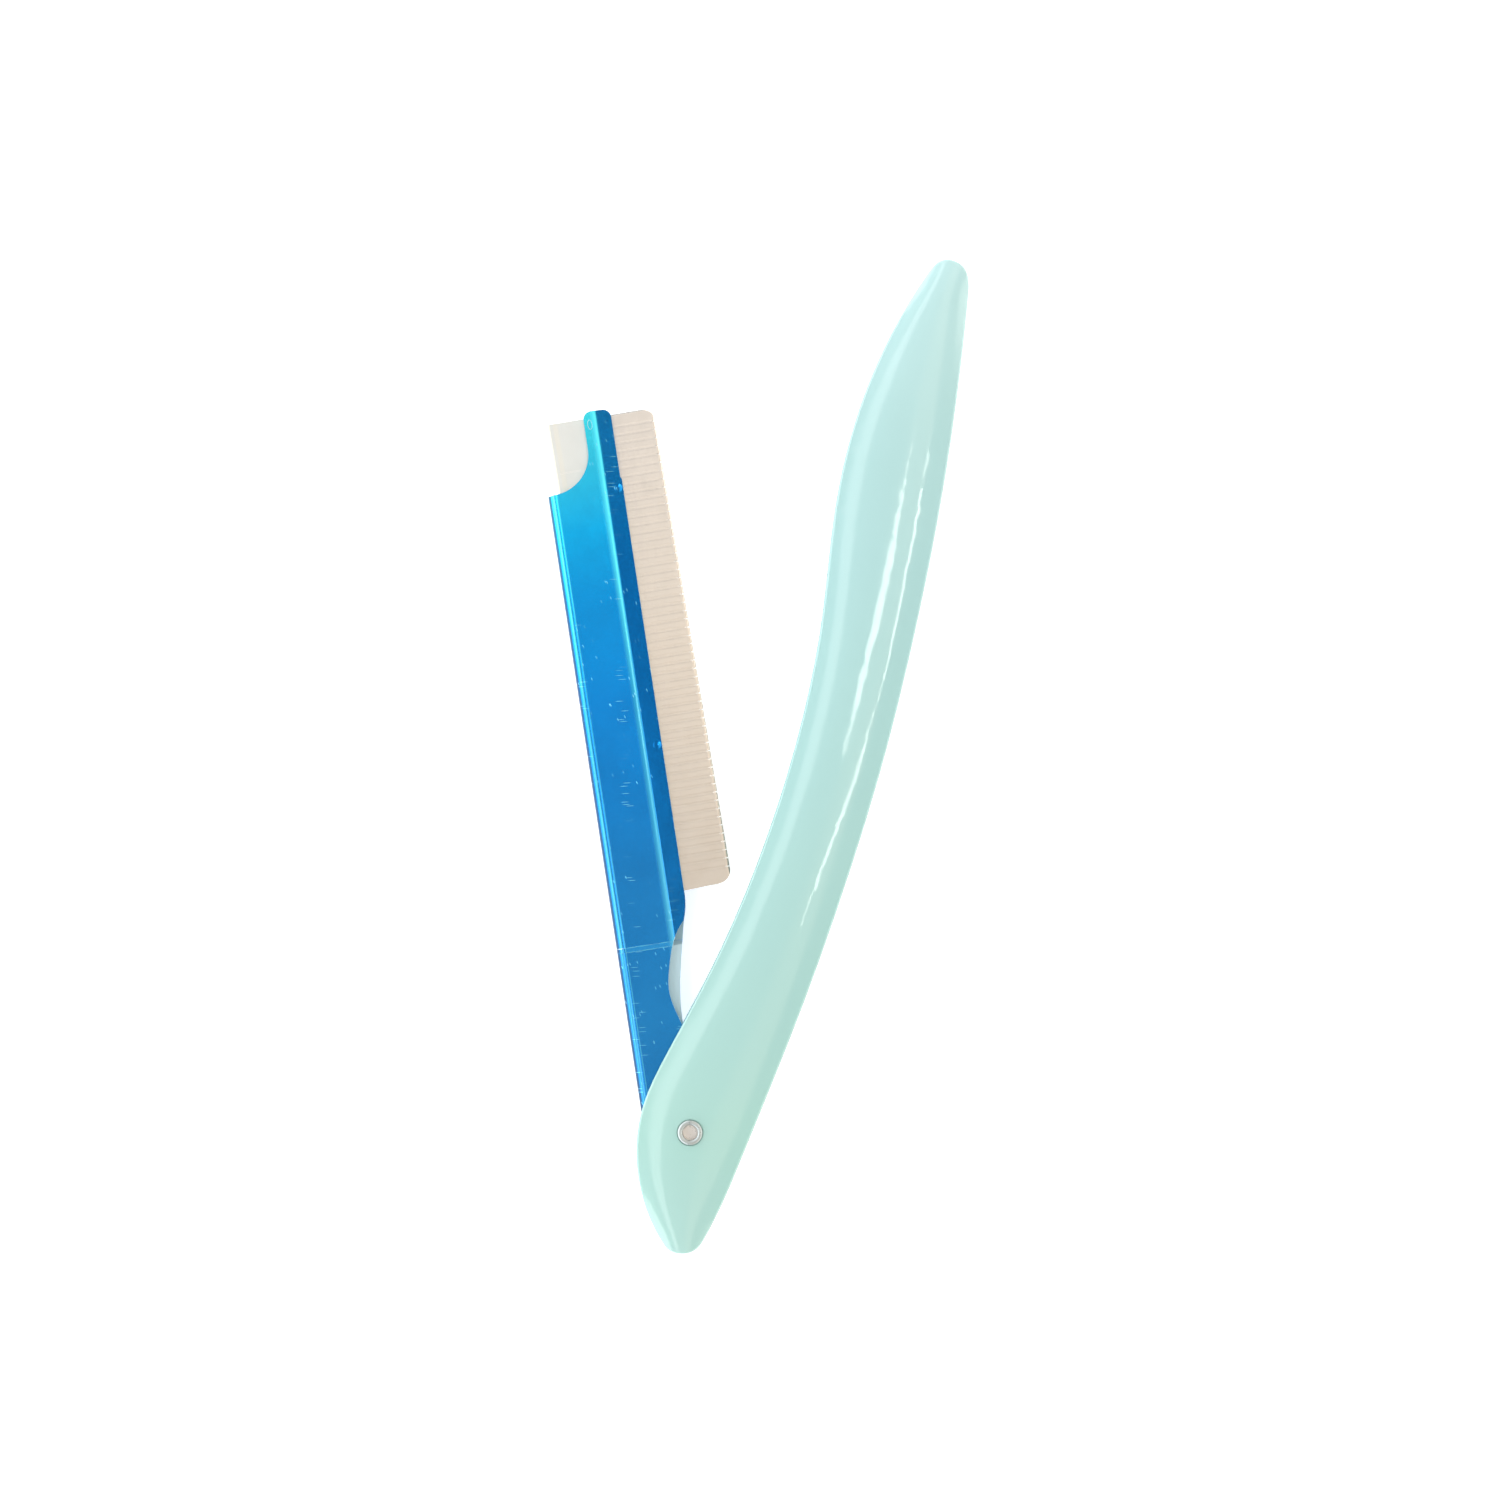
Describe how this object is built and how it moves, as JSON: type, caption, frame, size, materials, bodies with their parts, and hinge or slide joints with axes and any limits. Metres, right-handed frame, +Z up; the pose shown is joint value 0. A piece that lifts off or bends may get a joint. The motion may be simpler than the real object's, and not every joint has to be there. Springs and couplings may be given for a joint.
{
  "type": "straight razor",
  "caption": "Folding hair-shaper razor: a curved plastic handle of two scales, a folded-sheet blade holder on a rivet pivot, a strip blade with a crimped back, and a comb guard.",
  "frame": {"origin": "centre of the underside of the part's box, on the rear scale's rest land", "axes": "+Y along the handle from the pivot end to its tip, +Z up through the handle's thickness towards the rolled rivet end, and the blade holder opens towards -X"},
  "size_m": [0.053, 0.1314, 0.0083],
  "materials": {
    "handle_plastic": "glossy moulded mint green",
    "rivet_steel": "bright nickel-plated",
    "washer_nylon": "natural white",
    "lacquered_steel": "transparent blue lacquer on bright steel",
    "blade_steel": "ground",
    "back_steel": "bright rolled",
    "guard_plate": "satin nickel-plated, warm"
  },
  "bodies": {
    "handle": {"front_scale": "handle_plastic", "rear_scale": "handle_plastic", "back_spacer": "handle_plastic", "pivot_rivet": "rivet_steel", "front_washer": "washer_nylon", "rear_washer": "washer_nylon"},
    "holder": {"blade_holder": "lacquered_steel"},
    "blade": {"blade": "blade_steel", "blade_back": "back_steel"},
    "guard": {"comb_guard": "guard_plate"}
  },
  "joints": [
    {"name": "pivot", "type": "hinge", "parent": "handle", "child": "holder", "pos_m": [0.0149, -0.05025, 0.004], "axis": [0, 0, 1], "range_deg": [-21.5, 246.4]},
    {"name": "blade_slide", "type": "slide", "parent": "holder", "child": "blade", "axis": [-0.4147, 0.91, 0], "range_m": [0, 0.065]},
    {"name": "guard_slide", "type": "slide", "parent": "holder", "child": "guard", "axis": [-0.4147, 0.91, 0], "range_m": [0, 0.065]}
  ]
}
